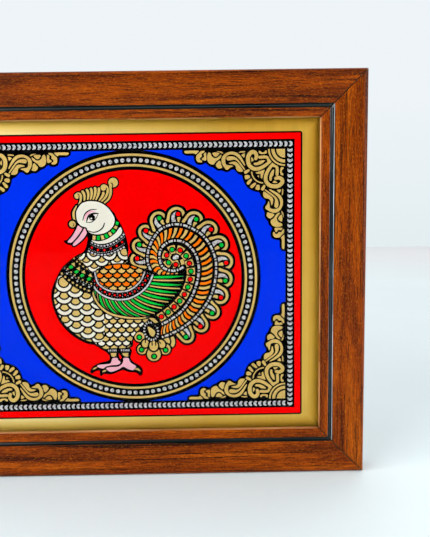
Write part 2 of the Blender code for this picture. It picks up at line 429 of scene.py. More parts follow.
def draw_rings():
    middle = (0.0, 0.0)
    paint(INK, disc(middle, RING_OUTSIDE, 200))
    paint(GOLD, disc(middle, OUTER_GOLD[0], 200))
    paint(INK, disc(middle, OUTER_GOLD[1], 200))
    for i in range(PEARLS):
        paint(SILVER, disc(polar(middle, PEARL_LINE, 360 * i / PEARLS), PEARL_RADIUS, 12))
    paint(GOLD, disc(middle, INNER_GOLD[0], 180))
    paint(INK, disc(middle, INNER_GOLD[1], 180))
    paint(RED, disc(middle, FIELD_RADIUS, 180))


# Corner scrollwork, drawn once for half a corner as (a, b): a along the panel's long side from
# the corner, b down from it. The other half swaps a and b, and the other corners mirror it.
CORNER_GROUND = (
    (62.6, 1.8), (60.6, 3.2), (58, 3.4), (55.9, 3.6), (55.6, 5.4), (54.6, 8), (52.4, 9), (50, 8.7),
    (48.8, 7.9), (47.4, 8.8), (46, 10.1), (44.4, 10.5), (42.4, 11.9), (40.8, 12.7), (38.8, 12.6),
    (36, 13.6), (34.2, 13.2), (32.8, 12.2), (31.2, 12.1), (30.4, 13), (28.6, 14.8), (26.4, 15.8),
    (25.8, 18), (24.8, 20.6), (23.6, 22.4), (22.6, 23.8),
)
TIP_LEAVES = (
    ((61.2, 1.4), (60.6, 0.4), (53.2, 0.4), (52.8, 1.0), (54.4, 2.5), (55.6, 1.9), (60, 2.0)),
    (
        (51.4, 0.8), (52.7, 2.2), (54, 3.4), (54.1, 6), (52.8, 7.4), (51, 7.4), (50.7, 6.6),
        (51.9, 5.8), (51.7, 4.6), (50.7, 3.8), (50.9, 2.4), (49.4, 1.5), (49.2, 0.6),
    ),
    ((48.3, 1.6), (49.6, 2.5), (49.3, 4), (50.8, 5.4), (50, 6.1), (48.6, 6.5), (48, 5.6), (48.1, 3)),
    (
        (46.6, 1.6), (45.4, 2.2), (44.6, 4), (43, 5), (41.4, 4.8), (39.8, 3.6), (38.8, 3), (39.2, 4.6),
        (40.4, 5.8), (42.2, 7), (43.4, 8.6), (44.8, 8.8), (46.6, 7.8), (47.4, 6), (47.4, 3.4),
    ),
    ((44.2, 1.9), (42.2, 1.6), (40.2, 1.9), (40.2, 2.6), (41.6, 3.9), (42.8, 4.1), (43.8, 3.1)),
    ((41.8, 0.9), (39, 1.1), (37.7, 2.2), (38.8, 2.1), (40.2, 1.4)),
    ((40.1, 6.6), (39.2, 7.6), (39, 9.2), (38.4, 10.7), (39.4, 11.2), (40.9, 11.2), (42.3, 9.3), (41.2, 7.6)),
)
CURLED_LEAF = (
    (
        (24.4, 9.3), (25.7, 6.4), (27.6, 3.4), (30, 1.7), (33, 1.3), (36, 2.2), (38.2, 4.2), (38.8, 6.6),
        (38.2, 9), (36.9, 11), (36, 12.1), (34.8, 11.9), (33.4, 10.8), (31.6, 10), (33.6, 9.5),
        (35.6, 9.2), (36.4, 7.8), (36.4, 5.6), (35.6, 3.9), (33.8, 3.0), (31.4, 3.1), (29.2, 4.3),
        (27, 6.8), (24.9, 9.6),
    ),
    (
        (35.8, 5.2), (34.8, 4.2), (32.6, 4.1), (30.6, 4.6), (28.8, 6), (26.6, 8.8), (24.5, 12),
        (25, 12.3), (27.2, 9.6), (29.2, 7), (31, 6.1), (33.2, 6.4), (35, 6.5),
    ),
    (
        (34.3, 8.1), (32.2, 7.4), (30.2, 7.4), (28.6, 8.6), (26.8, 11), (25.7, 12.9), (26.6, 13.4),
        (28.6, 13.2), (29.8, 12), (30.2, 10), (31.6, 8.9), (33.2, 8.6),
    ),
    ((28.2, 1.9), (27.2, 1.2), (24.6, 1.1), (24.4, 1.7), (26.8, 1.9)),
    ((26.6, 3.4), (25.6, 2.7), (24.5, 2.6), (24.9, 4.9), (25.6, 4.4)),
)
BIG_SCROLL = (
    (17.8, 5.6), (17.4, 3.9), (18.3, 2.0), (20.3, 1.7), (22.2, 3.8), (22.6, 6.6), (21.8, 9.6),
    (19.4, 11.6), (16.4, 11.8), (13.4, 10.6), (11, 9), (9, 7.4),
)
SCROLL_LEAVES = (
    ((15.9, 4.1), (11, 4.0), (9.6, 5.9), (8.3, 7.3), (10.4, 8.4), (10.9, 6.4), (11.9, 5.6), (15.8, 5.7)),
    (
        (19, 8.3), (16.8, 7.9), (15.5, 7.0), (12.4, 6.7), (12.9, 7.7), (14.2, 8.7), (16, 9.4),
        (18.2, 9.6), (19, 9.1),
    ),
    ((20.5, 4.7), (19.8, 5.3), (19.1, 6.6), (19.9, 7.2), (20.4, 7.6), (20.6, 6)),
    (
        (16, 1.2), (15.6, 2.5), (14, 2.9), (11.4, 2.6), (10.9, 1.2), (11.9, 0.8), (12.6, 1.7), (14, 2.0),
        (15, 1.1),
    ),
)
CORNER_RINGS = ((11.2, INK), (10.3, GOLD), (9.3, INK), (8.3, GOLD), (6.4, INK), (5.3, GOLD))
CORNER_BEADS = (((23.3, 13.3), 1.5, 0.85, 30), ((23.1, 16.7), 1.3, 1.15, 10), ((21.8, 19.5), 1.7, 0.85, 50))


def draw_corner(place):
    """The gold leaves and scrolls of one half of a corner."""
    for leaf in TIP_LEAVES + CURLED_LEAF:
        paint(GOLD, place(rounded(leaf, 3)))
    brush(GOLD, place(smooth(BIG_SCROLL, 5)), taper(2.4, 2.0, 1.6, 0.4))
    for leaf in SCROLL_LEAVES:
        paint(GOLD, place(rounded(leaf, 3)))
    for centre, along, across, tilt in CORNER_BEADS:
        wedge = [(along, across), (-along, 0.7 * across), (-along, -0.7 * across), (along, -across)]
        paint(GOLD, place(rounded(placed(wedge, centre, tilt), 3)))


def draw_corners():
    left, right, bottom, top = grown(-0.2)
    for x, along in ((left, 1), (right, -1)):
        for z, down in ((bottom, 1), (top, -1)):

            def place(points):
                return [(x + along * a, z + down * b) for a, b in points]

            def swapped(points):
                return place([(b, a) for a, b in points])

            ground = [(-1, -1), (62.8, -1)] + smooth(CORNER_GROUND, 3)
            for half in (place, swapped):
                paint(INK, half(ground))
            for half in (place, swapped):
                draw_corner(half)
            inner = arc((13.4, 13.4), 6.6, 2, 88, 12)
            outer = arc((13.2, 13.2), 7.6, 2, 88, 12)
            paint(GOLD, place(inner + outer[::-1]))
            paint(GOLD, place([(18, 14.1), (12.4, 12.4), (14.1, 18)]))
            paint(INK, place([(17.4, 14.9), (14.9, 14.9), (14.9, 17.4)]))
            paint(GOLD, place([(17.2, 16.0), (15.8, 15.8), (16.0, 17.2)]))
            for radius, colour in CORNER_RINGS:
                paint(colour, place([(0, 0)] + arc((0, 0), radius, 0, 90, 12)))


# The bird's tail: two silver bands curl round the heart of the spiral
INNER_BAND = (
    (31.6, 7.2), (28, 5.4), (24, 4.8), (18.5, 7), (16.4, 13), (17.5, 18.4), (21, 22), (26, 23.6),
    (32, 22.4), (37, 18), (40, 12), (40.8, 6), (40.2, 0), (38.6, -6), (36, -12), (32, -18), (27.5, -22.6),
    (22, -26.4), (16.4, -29.4),
)
OUTER_BAND = (
    (30.8, 1.2), (27, 0.4), (23, -0.2), (17, 0.4), (12, 3.4), (9.4, 9), (9, 14), (10.4, 20), (13.5, 26),
    (18, 31), (25, 33.6), (32, 33), (38, 30.4), (43, 27), (47.2, 22), (50, 16), (51.5, 10), (51.5, 3),
    (50.6, -3), (48.6, -10), (45.5, -16), (41, -22), (36, -27), (30, -31.4), (23, -35.2), (16.4, -37.6),
)
HEART_LINE = (
    (29, 9.3), (24, 8.4), (20.6, 12.6), (23, 17.4), (28.4, 18.0), (33, 14), (35.4, 7.6), (35.8, 2),
    (34.7, -3), (32.8, -7.7), (30.3, -12.2), (27, -16), (23.3, -19.5), (19.3, -22.6), (14.6, -25.6),
)
STRIPES = 23
STRIPE_EDGES = (0.2, 0.79)
STRIPE_FILL = 0.53
STRIPE_SPREAD = 0.036
STRIPE_LEAD = 0.035
STRIPE_SWAY = 8.4
STRIPE_LEAN = 0.012
STRIPE_BOW = 0.011
LOBES = 14
FIRST_LOBE = 0.18
LAST_LOBE = 0.91
LOBE_SPREAD = 1.12
FULL_LOBES = range(3, 11)
SLIM_LOBE = 0.87
GROUND_CELLS = 60
HEART_CELLS = 15
CHAIN_PITCH = 5.4


def draw_chain(line, width):
    """A silver band of long links with a small one after each."""
    count = round(run_of(line)[-1] / CHAIN_PITCH)
    brush(INK, line, width + 2.0)
    for i in range(count):
        for start, end in ((0.09, 0.6), (0.75, 0.91)):
            link = stretch(line, (i + start) / count, (i + end) / count)
            brush(SILVER, link, width, caps=False, piece=4)


# One lobe of the tail, as (outward, to the left) from its root on the outer band
LOBE_GROUND = (
    (0, 6.6), (4.6, 7.1), (8.9, 6.0), (11.7, 2.8), (12.2, -1.1), (10.6, -5.2), (6.4, -7.2), (0, -6.9),
)
LOBE_SCROLL = (
    (0.5, 5.3), (4.4, 5.5), (7.9, 4.5), (10.1, 2.0), (10.6, -1.1), (9.2, -4.1), (6.0, -5.6), (0.5, -5.5),
)
LOBE_HOLLOW = (
    (-0.5, 3.7), (3.8, 4.0), (6.9, 3.2), (8.6, 1.2), (9.0, -1.0), (7.9, -3.0), (5.5, -3.9), (-0.5, -4.1),
)
LOBE_CRESCENT = (
    (-0.3, 1.4), (2.0, 2.6), (4.4, 2.8), (6.3, 2.1), (7.7, 0.3), (7.3, -0.7), (6.1, 0.5), (4.3, 0.8),
    (2.4, 0.3), (-0.3, -0.8),
)
LOBE_STEM = ((-0.3, -3.2), (2.8, -2.6), (4.3, -2.7), (4.6, -1.4), (3.4, -0.7), (-0.3, -2.0))


def draw_lobe(root, away, colour, slim):
    """One lobe of the tail: a gold scroll round a silver crescent, with a dot on a stem."""
    parts = (
        (INK, LOBE_GROUND), (GOLD, LOBE_SCROLL), (INK, LOBE_HOLLOW), (SILVER, LOBE_CRESCENT),
        (GOLD, LOBE_STEM),
    )
    for tone, outline in parts:
        outline = [(out, left * slim) for out, left in outline]
        paint(tone, placed(rounded(outline), root, away))
    inked(colour, disc(placed([(6.3, -1.3 * slim)], root, away)[0], 1.25, 14), 0.5)


# The small fan at the foot of the tail: lobes with their dots, petals and slits
FAN_LOBES = (
    ((2.6, -37.0), 3.1, (2.5, -37.3)), ((4.1, -45.1), 3.1, (3.7, -45.3)),
    ((18.6, -45.2), 3.4, (18.9, -45.8)), ((11.4, -48.4), 4.3, (11.5, -49.8)),
)
FAN_PETALS = (
    ((6.2, -41.4), 2.5, 2.1, -105), ((16.4, -41.8), 2.7, 2.2, -60), ((11.4, -43.0), 3.2, 2.7, -90),
)
FAN_SLITS = (
    ((6.3, -38.6), (6.2, -40.6)), ((10.4, -40.0), (10.5, -42.6)),
    ((12.6, -40.0), (12.8, -42.6)), ((14.4, -39.8), (16.0, -41.4)),
)
FAN_BEADS = 18


def draw_tail_end():
    paint(INK, disc((12, -41.0), 9.4, 40))
    inked(GOLD, rounded([(17.2, -38.2), (20.2, -37.4), (21.8, -40.2), (20.6, -42.2), (18.6, -40)]))
    crescent = arc((19.4, -40.4), 5.6, 38, -42, 8) + arc((18.6, -40.2), 4.2, -38, 32, 8)
    inked(GOLD, crescent, 0.7)
    for centre, radius, _ in FAN_LOBES:
        inked(GOLD, disc(centre, radius, 26), 0.75)
    for petal in FAN_PETALS:
        inked(GOLD, oval(*petal, 18), 0.75)
    for _, _, dot in FAN_LOBES:
        inked(GREEN, disc(dot, 1.15, 12), 0.6)
    for slit in FAN_SLITS:
        brush(INK, slit, 0.75)
    paint(INK, oval((10.0, -33.2), 6.9, 5.2, 104, 24))
    for i, bead in enumerate(oval((10.1, -33.4), 5.7, 4.3, 104, FAN_BEADS)):
        paint(SILVER, oval(bead, 0.75, 0.45, 104 + 360 * i / FAN_BEADS, 8))
    paint(GOLD, rounded([(8.0, -30.6), (11.2, -32.2), (12.6, -34.4), (11.2, -36.9), (9.2, -35.4)]))


def stripe_share(index):
    """How far along the tail a stripe starts, as a share of its length."""
    share = index / (2 * STRIPES)
    return share + STRIPE_SPREAD * math.sin(math.pi * share ** 3)


def draw_tail():
    inner = smooth(INNER_BAND, 5)
    outer = smooth(OUTER_BAND, 5)
    for i in range(LOBES):
        share = FIRST_LOBE + (LAST_LOBE - FIRST_LOBE) * (i / (LOBES - 1)) ** LOBE_SPREAD
        away = heading(outer, share) + 90
        slim = 1.0 if i in FULL_LOBES else SLIM_LOBE
        draw_lobe(at(outer, share), away, GREEN if i % 2 else RED, slim)
    paint(INK, [(2, -25), (8, -24), (14, -25.4), (17, -30), (15.6, -38), (6, -36), (1, -31)])
    draw_tail_end()

    # Ground of the spiral, its striped band and the cells at its heart
    cells = smooth(HEART_LINE, 5)
    brush(INK, cells, 9.8)
    paint(INK, disc((26.2, 13.4), 9.0, 30))
    paint(INK, [(20, 5), (30, 10), (35, 4), (34, -4), (28, 1), (22, 2.4)])
    for i in range(GROUND_CELLS):
        span = (i / GROUND_CELLS, (i + 1) / GROUND_CELLS, 2)
        paint(INK, stretch(outer, *span) + stretch(inner, *span)[::-1])
    inside, outside = (mixed(inner, outer, share) for share in STRIPE_EDGES)
    middle = mixed(inside, outside, 0.5)
    for i in range(2 * STRIPES):
        colour = ORANGE if i % 2 else GOLD
        share = stripe_share(i)
        width = stripe_share(i + STRIPE_FILL) - share
        lead = share + STRIPE_LEAD * (1 - share) * math.cos(STRIPE_SWAY * share)
        low = [at(inside, lead), at(inside, lead + width)]
        high = [at(outside, share + width + STRIPE_LEAN), at(outside, share + STRIPE_LEAN)]
        half_way = (share + lead) / 2 + STRIPE_BOW
        near, far = at(middle, half_way), at(middle, half_way + width)
        paint(colour, smooth([low[0], near, high[1]], 3) + smooth([high[0], far, low[1]], 3))
    draw_links(cells, HEART_CELLS, (0.1, 0.86), (GOLD,), 5.0)
    for i in range(HEART_CELLS):
        dot = at(cells, (i + 0.5) / HEART_CELLS)
        inked(GREEN if i % 2 else RED, disc(dot, 1.2, 12), 0.5)
    inked(GOLD, [(8.6, -24.8), (12.2, -25.2), (14.6, -27.8), (12.6, -28.2), (10.4, -26.4)], 0.3)
    inked(SILVER, oval((26.6, 13.2), 2.0, 1.3, 20, 12), 0.4)
    inked(GOLD, [(29.2, 11.2), (31.0, 12.2), (31.9, 9.4), (32.0, 6.8), (30.4, 7.4)], 0.3)
    draw_chain(inner, 1.3)
    draw_chain(outer, 1.25)


# The bird's body
BODY_EDGE = (
    (-13.2, 41.6), (-9.5, 37.6), (-7.0, 33.6), (-5.1, 29.0), (-3.8, 24), (-3.0, 19), (-3.2, 12), (2, 7),
    (12, 4), (16, -6), (13, -20), (5, -28), (1.5, -33), (-1.6, -38), (-2.6, -43), (-9, -44.6),
    (-18.5, -44.4), (-23, -43), (-26, -41.2), (-30.5, -40.3), (-38.4, -35.8), (-45.4, -28.6),
    (-49.2, -21), (-51.2, -13), (-50.8, -6.4), (-47.6, 1.2), (-43.4, 8), (-35.6, 14.4), (-30.6, 17),
    (-28.4, 20.4), (-27.2, 25), (-26.4, 29.6),
)
BREAST = (
    (-45.6, 4.0), (-49.2, -6), (-50.0, -13), (-48.0, -21), (-44.2, -28), (-37.6, -34.6), (-29.4, -39.2),
    (-22.0, -39.4), (-19.6, -36), (-19.4, -22.5), (-23.4, -15), (-26.6, -6.2), (-32, -4.6), (-38.4, -1.4),
    (-42.6, 2.4),
)
BELLY = (
    (-19.6, -22.4), (-8, -24.6), (8.4, -24.2), (3.6, -30.6), (-1.4, -36.6), (-4.2, -43.4), (-14, -44.0),
    (-20, -44.2), (-25.4, -40.6), (-21, -38.2), (-18.8, -34),
)
NAPE = (
    (-28.8, 16.6), (-33.4, 14.0), (-26.6, 5.2), (-20, 6.4), (-12, 8.6), (-4.4, 8.6), (-4.2, 18.6),
    (-10, 17), (-20, 14.6), (-26, 16.2),
)
LACE = (
    (-34.4, 14.2), (-39.6, 11.4), (-44.8, 5.6), (-43.6, 1.0), (-38.2, -3.9), (-31.6, -7.6), (-26.0, -8.8),
    (-24.6, 0.6), (-26.4, 4.8),
)


# A scale's black edge, and its core: the shift, the black disc and the core, by its radius
SCALE_EDGE = 1.15
CORE_SHIFT = 0.17
CORE_GROUND = 0.76
CORE_SIZE = 0.56


def draw_scale(centre, radius, ring, core, within, tilt):
    """One scale: a black edge, and either plain, or a crescent of ring round a core."""
    paint(INK, disc(centre, radius + SCALE_EDGE, 18), within)
    paint(ring, disc(centre, radius, 18), within)
    if core:
        heart = polar(centre, CORE_SHIFT * radius, tilt + 180)
        paint(INK, disc(heart, CORE_GROUND * radius, 16), within)
        paint(core, disc(heart, CORE_SIZE * radius, 16), within)


def draw_scales(within, corner, size, pitch, drop, radius, kinds, turn=0.0):
    """Rows of overlapping scales over a box, the lowest row first. kinds gives each row's ring
    and core in turn, from the top. turn tilts the scales towards the box's sides."""
    rows = int(size[1] / drop) + 1
    middle = corner[0] + size[0] / 2
    for row in reversed(range(rows)):
        ring, core = kinds[row % len(kinds)]
        z = corner[1] - drop * row
        for i in range(int(size[0] / pitch) + 2):
            x = corner[0] + pitch * (i + 0.5 * (row % 2))
            draw_scale((x, z), radius, ring, core, within, -90 + turn * (x - middle))


LEFT_FOOT = (
    (-14.8, -50.6), (-11.9, -50.4), (-11.3, -51.8), (-9.9, -53.3), (-11.6, -54.8), (-16, -55.1),
    (-19.4, -56), (-21.2, -57.2), (-24.7, -55.8), (-23.4, -54.7), (-17, -54.2), (-15.6, -52.6),
)
RIGHT_FOOT = (
    (-7.9, -50.6), (-4.8, -50.6), (-4.1, -52.6), (-2.6, -54.3), (-0.2, -55.9), (-0.9, -57.6),
    (-2.4, -58.5), (-5.4, -57.7), (-8.2, -56.2), (-11.2, -57.8), (-16.2, -59.4), (-19.1, -57.2),
    (-16.4, -56.3), (-11.6, -56.1), (-9, -54.4), (-8, -52.4),
)
FEET_GROUND = (
    (-22.4, -43.4), (-19.2, -46.2), (-16.9, -48.8), (-17.2, -51.8), (-22.8, -53.2), (-27.4, -55.6),
    (-29.4, -59.2), (-28.2, -60.4), (-25.8, -58.8), (-23.4, -58.6), (-23.2, -61.4), (-22, -62),
    (-20.4, -60.7), (-15.6, -61), (-10.6, -59.2), (-8.2, -58.4), (-4.6, -59.9), (-0.2, -60.2),
    (2.6, -62.5), (4.3, -59.4), (2.6, -55.8), (-1.6, -53.1), (-3.4, -50.2), (-3.6, -44),
)
CLAWS = (
    ((-27.7, -57.7), (-26.4, -56.4), (-24.9, -56.3), (-25.8, -57.2)),
    ((-21.7, -59.4), (-20.5, -58.2), (-18.9, -58.3), (-19.9, -59.2)),
    ((-1.0, -58.0), (0.6, -57.2), (1.8, -57.9), (2.6, -59.4), (0.8, -58.5)),
)


def draw_legs():
    paint(INK, rounded(FEET_GROUND, 3))
    paint(RED, [(-10.7, -47.2), (-9.1, -50.2), (-9.9, -51.2), (-10.6, -49.6)])
    for foot in (LEFT_FOOT, RIGHT_FOOT):
        paint(PINK, rounded(foot, 3))
    for claw in CLAWS:
        paint(GOLD, rounded(claw, 3))
    paint(GOLD, [(-15.9, -47.2), (-12.3, -47.2), (-12.6, -49.0), (-14, -49.7), (-15.5, -49.3)])
    paint(GOLD, [(-8.7, -47.3), (-4.8, -47.3), (-4.9, -49.7), (-6.8, -49.5), (-8.0, -48.8)])


def draw_anklets():
    for x, z in ((-14.8, -45.5), (-6.7, -45.5)):
        paint(INK, box(x - 2.9, x + 2.9, z - 1.4, z + 1.3))
        for i in range(5):
            paint(SILVER, oval((x - 2.3 + 1.15 * i, z), 0.75, 0.36, 96, 8))


def draw_body():
    draw_legs()
    edge = rounded(BODY_EDGE, 5)
    brush(INK, edge, 1.0, closed=True)
    paint(INK, edge)
    belly = region(rounded(BELLY))
    draw_scales([belly], (-26.6, -23.0), (32, 22), 5.2, 2.85, 2.1, [(WHITE, None), (GOLD, None)])
    breast = region(rounded(BREAST))
    draw_scales([breast], (-58.0, -2.2), (40, 40), 14.2, 3.75, 5.1, [(WHITE, GOLD)], 1.6)
    nape = region(rounded(NAPE))
    draw_scales([nape], (-33.8, 16.5), (32, 12), 9.6, 3.7, 4.2, [(WHITE, GOLD)])
    draw_anklets()


def draw_lace():
    """The shoulder's lace: rows of drops, beads and ticks on black."""
    edge = rounded(LACE)
    lace = region(edge)
    paint(INK, edge)
    spine = swing((-41.6, 11.6), (-36, 3.4), (-24.4, -1.0))
    rows = (
        (7.2, GOLD, 0.8, 0.4, 7), (5.2, GOLD, 0.6, 0.5, 7), (-2.3, GOLD, 0.55, 0.5, 8),
        (-3.4, SILVER, 0.3, 0.3, 13), (-4.7, SILVER, 0.6, 0.55, 6), (-7.0, GOLD, 0.75, 0.65, 9),
    )
    for shift, colour, along, across, count in rows:
        for i in range(count):
            share = (i + 0.5) / count
            slope = heading(spine, share)
            middle = polar(at(spine, share), shift, slope + 90)
            paint(colour, oval(middle, along, across, slope, 8), [lace])
    for share in (0.21, 0.42, 0.61, 0.83):
        slope = heading(spine, share)
        drop = at(spine, share)
        wedge = placed([(-1.3, 1.6), (1.3, 1.9), (-0.4, 3.7)], drop, slope)
        paint(GOLD, wedge, [lace])
        paint(GREEN, oval(drop, 1.35, 0.95, slope + 60, 12), [lace])


# The folded wing: a bowl of small scales, two beaded rims, and long feathers
BOWL = (
    (-23.4, 4.6), (-17, 8.0), (-9, 9.2), (-1, 8.2), (6.4, 4.4), (4, -1.0), (-1.8, -5.4), (-9, -7.2),
    (-16, -6.0), (-21.6, -1.8),
)
INNER_RIM = ((-24, 4.6), (-22.2, -2.4), (-16.4, -6.8), (-9, -8), (-2, -6.6), (4, -1.8), (7, 4.2))
OUTER_RIM = (
    (-26, -3), (-22.4, -7.8), (-16.4, -11.6), (-9, -13), (-2, -12), (5, -8), (9.6, -3), (12, 2.4),
)
FEATHER_TIPS = (
    (-20.5, -17.6), (-15, -21.6), (-8, -23.6), (2, -24.4), (11.5, -22.4), (17.4, -18.4), (22.2, -13.8),
    (26.6, -9.2), (29.6, -4.6), (31, 0.2), (30.6, 2.6),
)
FEATHERS = 12
FEATHER_PARTS = ((-0.46, GOLD, 0.95), (0.0, GREEN, 1.45))
RIM_BEADS = 14


def draw_wing():
    roots = smooth(OUTER_RIM, 5)
    tips = smooth(FEATHER_TIPS, 5)
    paint(INK, roots + offset(tips, -0.8)[::-1])
    for i in range(FEATHERS):
        share = i / (FEATHERS - 1)
        for part, colour, width in FEATHER_PARTS:
            spot = share + part / (FEATHERS - 1)
            if spot < -0.02:
                continue
            root = at(roots, 0.07 + 0.9 * spot)
            tip = at(tips, 0.05 + 0.93 * spot)
            sag = 5.5 * (1 - share) + 1.2
            bend = ((root[0] + tip[0]) / 2 - sag * 0.62, (root[1] + tip[1]) / 2 - sag * 0.55)
            tail_width = 0.15 if colour == GREEN else 0.6
            inked_brush(colour, swing(root, bend, tip), taper(width, 0.8 * width, tail_width, 0.45), 0.6)
    edge = [(-26.2, -5.6), (-24.6, -12), (-21, -17.6), (-15.4, -21.8), (-8, -24.0), (0, -25.0), (7, -24.8)]
    inked_brush(GOLD, smooth(edge, 4), taper(1.2, 0.8, 0.6), 0.5)
    bowl_edge = rounded(BOWL)
    bowl = region(bowl_edge)
    paint(INK, offset(bowl_edge, 0.9, closed=True))
    kinds = [(ORANGE, None), (GOLD, None)]
    draw_scales([bowl], (-26.6, 8.9), (36, 18), 5.5, 2.75, 2.3, kinds)
    rim = smooth(mixed(INNER_RIM, OUTER_RIM, 0.5, 12), 4)
    paint(INK, smooth(INNER_RIM, 5) + smooth(OUTER_RIM, 5)[::-1])
    for i in range(RIM_BEADS):
        share = (i + 0.5) / RIM_BEADS
        paint(RED, disc(at(rim, share), 0.62, 8))
        for side in (0.9, -0.9):
            tick = polar(at(rim, (i + 1.0) / RIM_BEADS), side, heading(rim, share) + 90)
            paint(SILVER, disc(tick, 0.24, 6))
    inked_brush(SILVER, smooth(INNER_RIM, 5), 0.9, 0.4)
    inked_brush(SILVER, smooth(OUTER_RIM, 5), 1.0, 0.4)


# The bird's head and neck
HEAD = (
    (-24.5, 48.6), (-19.5, 47.8), (-15.0, 44.9), (-11.8, 40.6), (-10.6, 37.2), (-11.8, 33.0),
    (-15.6, 29.6), (-20.6, 28.2), (-24.8, 28.7), (-27.3, 30.4), (-28.2, 32.5), (-31.2, 33.5),
    (-33.4, 36.2), (-34.0, 39.4), (-33.8, 42.6), (-31.2, 46.6), (-28.2, 48.2),
)
UPPER_BILL = (
    (-33.0, 33.8), (-34.6, 31.2), (-37.0, 27.4), (-40.0, 24.0), (-38.8, 23.2), (-37.2, 23.7),
    (-34.0, 27.0), (-31.4, 30.2), (-30.0, 32.2),
)
LOWER_BILL = (
    (-29.3, 32.0), (-28.0, 30.4), (-28.6, 28.0), (-31.2, 24.8), (-35.8, 21.4), (-36.8, 22.4),
    (-33.2, 26.4), (-30.6, 30.0),
)


def draw_neck():
    low = smooth([(-28.0, 18.4), (-24.0, 16.2), (-18, 15.4), (-12, 16.8), (-4.6, 20.4)], 5)
    high = smooth([(-25.8, 23.6), (-20.4, 21.0), (-15.0, 21.6), (-9.0, 24.4), (-4.6, 28.6)], 5)
    paint(INK, offset(low, -0.9) + offset(high, 1.6)[::-1])
    for line in (high, low):
        draw_links(line, 12, (0.2, 0.8), (SILVER,), 0.9, 2)
    draw_dots(mixed(low, high, 0.5, 12), 6, RED, 0.7, 8, 0.45)
    for side in (0.24, 0.76):
        draw_dots(mixed(low, high, side, 12), 22, SILVER, 0.26, 6)
    throat = smooth([(-25.0, 24.4), (-21, 23.1), (-15.6, 23.9), (-11.0, 26.4), (-8.0, 29.2), (-7.2, 32.2)], 5)
    inked_brush(WHITE, throat, taper(3.0, 0.5, 0.5, 0.8), 0.4)
    collar = smooth([(-24.9, 26.5), (-19.8, 26.1), (-15.2, 27.7), (-11.5, 30.8), (-9.2, 36.2)], 5)
    brush(INK, collar, 4.0, caps=False)
    draw_links(collar, 8, (0.16, 0.84), (GOLD, GREEN), 2.8, 2)


CREST_TOPS = ((-29.6, 54.6), (-26.9, 55.5), (-24.4, 56.1), (-21.9, 56.6), (-19.6, 56.2), (-16.9, 53.6))
CREST_ROOTS = ((-29.0, 48.2), (-26.9, 49.0), (-25.2, 49.2), (-23.5, 49.2), (-21.8, 49.2), (-20.0, 48.5))
CREST_CURLS = (
    ((-33.0, 51.9), 1.75, ((-32.5, 45.8), (-31.2, 48.8), (-30.8, 51.6), (-31.5, 53.2), (-33.0, 53.4))),
    ((-16.5, 56.8), 1.95, ((-18.6, 48.0), (-15.8, 50.8), (-14.3, 54.0), (-14.5, 56.8), (-15.8, 58.0))),
    ((-10.7, 59.8), 2.9, ((-16.8, 47.2), (-13.9, 49.8), (-12.5, 53.2), (-12.4, 56.4), (-12.7, 59.4))),
)
CREST_SLITS = (
    ((-32.6, 53.0), (-31.9, 52.4), (-31.9, 51.2), (-32.3, 50.2)),
    ((-14.9, 56.4), (-15.1, 55.4), (-16.0, 55.0)),
    ((-11.8, 59.4), (-11.2, 59.0), (-11.1, 57.9), (-11.5, 56.6)),
)


def draw_crest():
    """Plumes that stand on the crown, three of them rolled up at their tips."""
    plumes = []
    for top, root in zip(CREST_TOPS, CREST_ROOTS):
        bend = ((top[0] + root[0]) / 2 + 1.5, (top[1] + root[1]) / 2 + 0.8)
        plumes.append((swing(top, bend, root), taper(1.5, 1.5, 0.7, 0.3)))
    for _, _, stem in CREST_CURLS:
        plumes.append((smooth(stem, 4), taper(1.45, 0.8, 1.2, 0.6)))
    for line, width in plumes:
        brush(INK, line, lambda share, width=width: width(share) + 1.9)
    for curl, radius, _ in CREST_CURLS:
        paint(INK, disc(curl, radius + 0.9, 20))
    for line, width in plumes:
        brush(GOLD, line, width)
    for curl, radius, _ in CREST_CURLS:
        paint(GOLD, disc(curl, radius, 20))
    for slit in CREST_SLITS:
        brush(INK, smooth(slit, 3), 0.6)


def draw_head():
    cheek = smooth([(-33.6, 46.0), (-35.6, 42.0), (-35.4, 37.6), (-35.2, 35.0)], 5)
    inked_brush(GOLD, cheek, taper(1.5, 0.4, 0.8), 0.8)
    inked(GOLD, disc((-36.7, 34.7), 2.0, 16), 0.8)
    brush(INK, arc((-36.5, 34.3), 0.8, -90, 60, 6), 0.5)
    paint(INK, rounded([(-37.6, 25.0), (-42.4, 24.6), (-41.4, 22.8), (-38.6, 21.6), (-36.4, 22)]))
    for bill in (UPPER_BILL, LOWER_BILL):
        inked(PINK, rounded(bill), 0.7)
    inked(WHITE, rounded(HEAD, 5), 0.65)
    brow = smooth([(-30.2, 37.0), (-28.6, 41.0), (-25.4, 43.2), (-21.4, 43.6)], 5)
    brush(PINK, offset(brow, -1.1), taper(1.5, 0.6, 0.1, 0.4))
    brush(INK, brow, taper(0.75, 0.5, 0.3))
    lid = smooth([(-28.0, 35.6), (-26.6, 39.4), (-23.6, 41.0), (-20.4, 41.0)], 5)
    under = smooth([(-28.0, 35.6), (-25.0, 35.8), (-22.4, 37.6), (-20.4, 41.0)], 5)
    eye = region(lid + under[::-1])
    paint(WHITE, lid + under[::-1])
    paint(INK, disc((-24.4, 38.6), 1.9, 16), [eye])
    paint(WHITE, disc((-24.9, 38.0), 0.55, 8), [eye])
    brush(INK, lid, taper(1.3, 0.4, 0.5))
    brush(INK, under, taper(0.6, 0.3, 0.3))
    cheek_line = smooth([(-16.9, 35.0), (-18.0, 32.4), (-20.6, 30.3), (-24.0, 29.5), (-27.4, 30.6)], 4)
    brush(INK, cheek_line, taper(0.8, 0.6, 0.5, 0.3))


def draw_picture():
    draw_borders()
    draw_corners()
    draw_rings()
    draw_tail()
    draw_body()
    draw_wing()
    draw_lace()
    draw_neck()
    draw_crest()
    draw_head()


